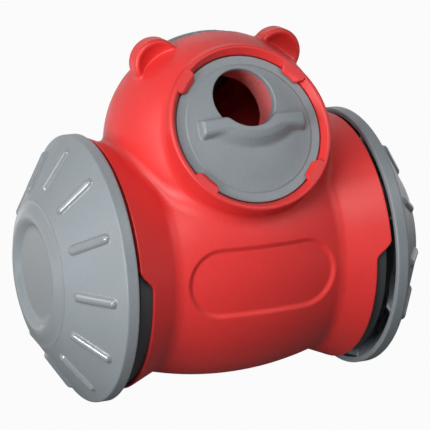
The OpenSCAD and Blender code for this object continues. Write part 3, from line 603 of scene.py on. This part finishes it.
# ---------------------------------------------------------------- pieces
def finish_piece(obj, material, body_name, slot, *nodes):
    """Gives a piece its material and the body that it rides on, and hides the CAD nodes that it stands for. The
    slot is not used.
    """
    obj.data.materials.clear()
    obj.data.materials.append(material)
    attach(obj, body_name)
    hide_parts(*nodes)


def middles_of(obj):
    """The middle of each face, in millimetres from the axle's middle."""
    mids = np.empty(len(obj.data.polygons) * 3, np.float32)
    obj.data.polygons.foreach_get("center", mids)
    return (mids.reshape(-1, 3) / MM - np.array((0, 0, AXLE_Z))).T


def paint(obj, material, faces):
    """A second material on some faces of a piece."""
    obj.data.materials.append(material)
    obj.data.polygons.foreach_set("material_index", faces.astype(np.int32))


def axes_at(origin, *axes):
    """A placement from its origin and its three axes."""
    return Matrix.Translation(origin) @ Matrix(axes).transposed().to_4x4()


axle = Vector((0, 0, AXLE_Z))
at_axle = Matrix.Translation(axle)
c, s = math.cos(PORT_TILT), math.sin(PORT_TILT)
at_port = axes_at(axle + Vector((0, -PORT_Y, PORT_Z)), (1, 0, 0), (0, s, c), (0, -c, s))
c, s = math.cos(FILLER_TILT), math.sin(FILLER_TILT)
at_filler = axes_at(axle + Vector((0, 0, HEAD_Z)), (1, 0, 0), (0, s, -c), (0, c, s))

# The skins' grids: low corner, high corner and step in millimetres, and the share of the faces that is kept
BODY_GRID = (-52, -50.5, -50.5), (52, 50.5, 87), 0.5, 0.3
DIAL_GRID = (-29.5, -29.5, -3.5), (29.5, 29.5, 8), 0.3, 0.4
LID_GRID = (-27.5, -27.5, 28), (27.5, 27.5, 44), 0.4, 0.45
WHEEL_GRID = (46.5, -51, -51), (75, 51, 51), 0.5, 0.3
BAR_PAINT = 0.12  # how far from a bar the glossier grey reaches

shell = moulded("body_skin", body, *BODY_GRID, at_axle)
finish_piece(shell, RED, "body", "red_plastic", "body_shell")
u, v, w = port_frame(*middles_of(shell))
# The faces of the chute's inner wall, which get the paler red: painted light on the wall behind the treat hole
chute_painted_light_faces = np.hypot(u, v - CHUTE_UP) < CHUTE_R + CHUTE_WALL / 2
paint(shell, RED_CHUTE_PAINTED_LIGHT, chute_painted_light_faces & (w < FLOOR_Z) & (w > -SNOUT_L))

dial = moulded("treat_cover_skin", treat_cover, *DIAL_GRID, at_port)
finish_piece(dial, GREY_DIAL, "dial", "grey_plastic", "treat_cover")

lid = moulded("rear_cover_skin", rear_cover, *LID_GRID, at_filler)
finish_piece(lid, GREY, "filler_lid", "grey_plastic", "rear_cover")

# The hub cap's outline: across the dish, over the ring and round the back
DISH_STEPS, RING_STEPS = 9, 48
dish_x = CREASE_X + DISH_LIFT
lap_x, foot_x = CREASE_X - CAP_EDGE + GAP, BOSS_X + GAP
cap_line = [(dish_x, DISH_R * i / DISH_STEPS) for i in range(DISH_STEPS + 1)]
for i in range(1, RING_STEPS):
    t = i / RING_STEPS
    rise = RING_RISE * math.sin(math.pi * t ** RING_SKEW) ** RING_POWER
    cap_line.append((dish_x + rise, DISH_R + (HUB_R - DISH_R) * t))
cap_line += [(CREASE_X + RING_FOOT, HUB_R), (lap_x, HUB_R), (lap_x, SOCKET_R - GAP),
             (foot_x, SOCKET_R - GAP), (foot_x, SOCKET_R - GAP - CAP_T),
             (dish_x - CAP_T, SOCKET_R - GAP - CAP_T), (dish_x - CAP_T, 0.0)]

for side, mirror in (("right", 1), ("left", -1)):
    place = at_axle @ Matrix.Diagonal((mirror, 1, 1, 1))
    tyre = moulded(side + "_wheel_skin", wheel, *WHEEL_GRID, place)
    finish_piece(tyre, GREY, "wheel_" + side, "grey_plastic", side + "_wheel")
    x, y, z = middles_of(tyre)
    paint(tyre, GREY_GLOSS, bar_of(x * mirror, y, z) < BAR_PAINT)
    cap = lathe(side + "_hub_cap_skin", cap_line, place)
    finish_piece(cap, GREY_GLOSS, "wheel_" + side, "grey_plastic", side + "_hub_cap")

CAD_LOOKS = {
    DARK: ["left_end_cap", "right_end_cap"],
    STEEL: ["left_cap_screws", "right_cap_screws", "left_washer", "right_washer",
            "left_axle_screw", "right_axle_screw", "weight_cover_screws"],
    IRON: ["counterweight"],
    RED: ["weight_cover"],
}
for material, names in CAD_LOOKS.items():
    for name in names:
        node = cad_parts[name]
        node.data.materials.clear()
        node.data.materials.append(material)


# ---------------------------------------------------------------- camera, fitted to the photograph
def direction(turn, rise):
    """The way towards an azimuth, from the front to the right, and an elevation, in degrees."""
    turn, rise = math.radians(turn), math.radians(rise)
    return Vector((math.sin(turn) * math.cos(rise), -math.cos(turn) * math.cos(rise), math.sin(rise)))


CAMERA_TURN, CAMERA_RISE, CAMERA_FAR = -24.42, 15.71, 880.9
CAMERA_RIGHT, CAMERA_UP = -0.16, 13.67
SENSOR_MM, FOCAL_PX, PHOTO_PX = 36, 2312.7, 430

back = direction(CAMERA_TURN, CAMERA_RISE)
right = Vector((math.cos(math.radians(CAMERA_TURN)), math.sin(math.radians(CAMERA_TURN)), 0))
upward = back.cross(right)
camera = bpy.data.objects.new("camera", bpy.data.cameras.new("camera"))
bpy.context.scene.collection.objects.link(camera)
spot = (back * CAMERA_FAR + right * CAMERA_RIGHT + upward * CAMERA_UP + axle) * MM
camera.matrix_world = axes_at(spot, right, upward, back)
camera.data.sensor_width = SENSOR_MM
camera.data.lens = SENSOR_MM * FOCAL_PX / PHOTO_PX
bpy.context.scene.camera = camera

# ---------------------------------------------------------------- floor: white to the camera, grey to the light
FLOOR_SIZE = 6  # metres
FLOOR_GREY, FLOOR_ROUGH, FLOOR_SPECULAR = 0.2, 0.8, 0.2
CAMERA_SHARE = 0.96  # of the floor's white that the camera sees; the rest carries the shadow
# In reflections the floor is dark near the toy and light further off, in metres from GLOW_FROM
GLOW_FROM, GLOW_START, GLOW_END, GLOW_NEAR, GLOW_FAR = (0.1, -0.1, 0), 0.16, 0.5, 0.04, 0.9

bpy.ops.mesh.primitive_plane_add(size=FLOOR_SIZE, location=(0, 0, 0))
floor = bpy.context.object
floor.name = "floor"
pale = bpy.data.materials.new("floor")
pale.use_nodes = True
tree = pale.node_tree
shader = tree.nodes["Principled BSDF"]
shader.inputs["Base Color"].default_value = (FLOOR_GREY, FLOOR_GREY, FLOOR_GREY, 1)
shader.inputs["Roughness"].default_value = FLOOR_ROUGH
shader.inputs["Specular IOR Level"].default_value = FLOOR_SPECULAR
glow = tree.nodes.new("ShaderNodeEmission")
glow.inputs["Color"].default_value = (1, 1, 1, 1)
glow.inputs["Strength"].default_value = 1.0
path = tree.nodes.new("ShaderNodeLightPath")
where = tree.nodes.new("ShaderNodeTexCoord")
shifted = tree.nodes.new("ShaderNodeVectorMath")
shifted.operation = "SUBTRACT"
shifted.inputs[1].default_value = GLOW_FROM
tree.links.new(where.outputs["Object"], shifted.inputs[0])
away = tree.nodes.new("ShaderNodeVectorMath")
away.operation = "LENGTH"
tree.links.new(shifted.outputs[0], away.inputs[0])
far_glow = spread(tree, away.outputs["Value"], GLOW_START, GLOW_END, GLOW_NEAR, GLOW_FAR, "SMOOTHSTEP")
gloss_share = maths(tree, "MULTIPLY", path.outputs["Is Glossy Ray"], far_glow)
share = maths(tree, "MULTIPLY_ADD", path.outputs["Is Camera Ray"], CAMERA_SHARE, gloss_share)
mix = tree.nodes.new("ShaderNodeMixShader")
tree.links.new(share, mix.inputs["Fac"])
tree.links.new(shader.outputs["BSDF"], mix.inputs[1])
tree.links.new(glow.outputs["Emission"], mix.inputs[2])
tree.links.new(mix.outputs["Shader"], tree.nodes["Material Output"].inputs["Surface"])
floor.data.materials.append(pale)

# ---------------------------------------------------------------- world: white to the camera, dim to the light
# In reflections it is lighter behind the toy than in front, by the Y of the direction
WORLD_LIGHT, SKY_START, SKY_END, SKY_FRONT, SKY_BEHIND = 0.1, -0.3, 0.5, 0.2, 0.6

world = bpy.data.worlds.new("world")
bpy.context.scene.world = world
world.use_nodes = True
tree = world.node_tree
backdrop = tree.nodes["Background"]
backdrop.inputs["Color"].default_value = (1, 1, 1, 1)
path = tree.nodes.new("ShaderNodeLightPath")
where = tree.nodes.new("ShaderNodeTexCoord")
part_of = tree.nodes.new("ShaderNodeSeparateXYZ")
tree.links.new(where.outputs["Generated"], part_of.inputs[0])
behind = spread(tree, part_of.outputs["Y"], SKY_START, SKY_END, SKY_FRONT, SKY_BEHIND, "SMOOTHSTEP")
seen = maths(tree, "MULTIPLY_ADD", path.outputs["Is Glossy Ray"], behind, WORLD_LIGHT)
level = maths(tree, "MAXIMUM", seen, path.outputs["Is Camera Ray"])
tree.links.new(level, backdrop.inputs["Strength"])

# ---------------------------------------------------------------- lamps
# Azimuth and elevation in degrees, distance and size in metres, power in watts
LIGHTS = {
    "key": (-32, 42, 0.5, 0.25, 1.0),
    "left": (-84, 26, 0.5, 0.25, 0.4),
    "low": (-58, 4, 0.6, 0.3, 2.6),
    "right": (35, 40, 0.6, 0.3, 0.45),
    "back": (170, 35, 0.8, 0.5, 0.22),
}
LAMP_AIM = Vector((0, 0, 0.06))
for name, (turn, rise, far, size, power) in LIGHTS.items():
    lamp = bpy.data.lights.new(name, "AREA")
    lamp.shape = "DISK"
    lamp.size = size
    lamp.energy = power
    obj = bpy.data.objects.new(name, lamp)
    bpy.context.scene.collection.objects.link(obj)
    ray = direction(turn, rise)
    obj.location = ray * far + LAMP_AIM
    obj.rotation_euler = ray.to_track_quat("Z", "Y").to_euler()

bpy.context.scene.view_settings.view_transform = "Standard"
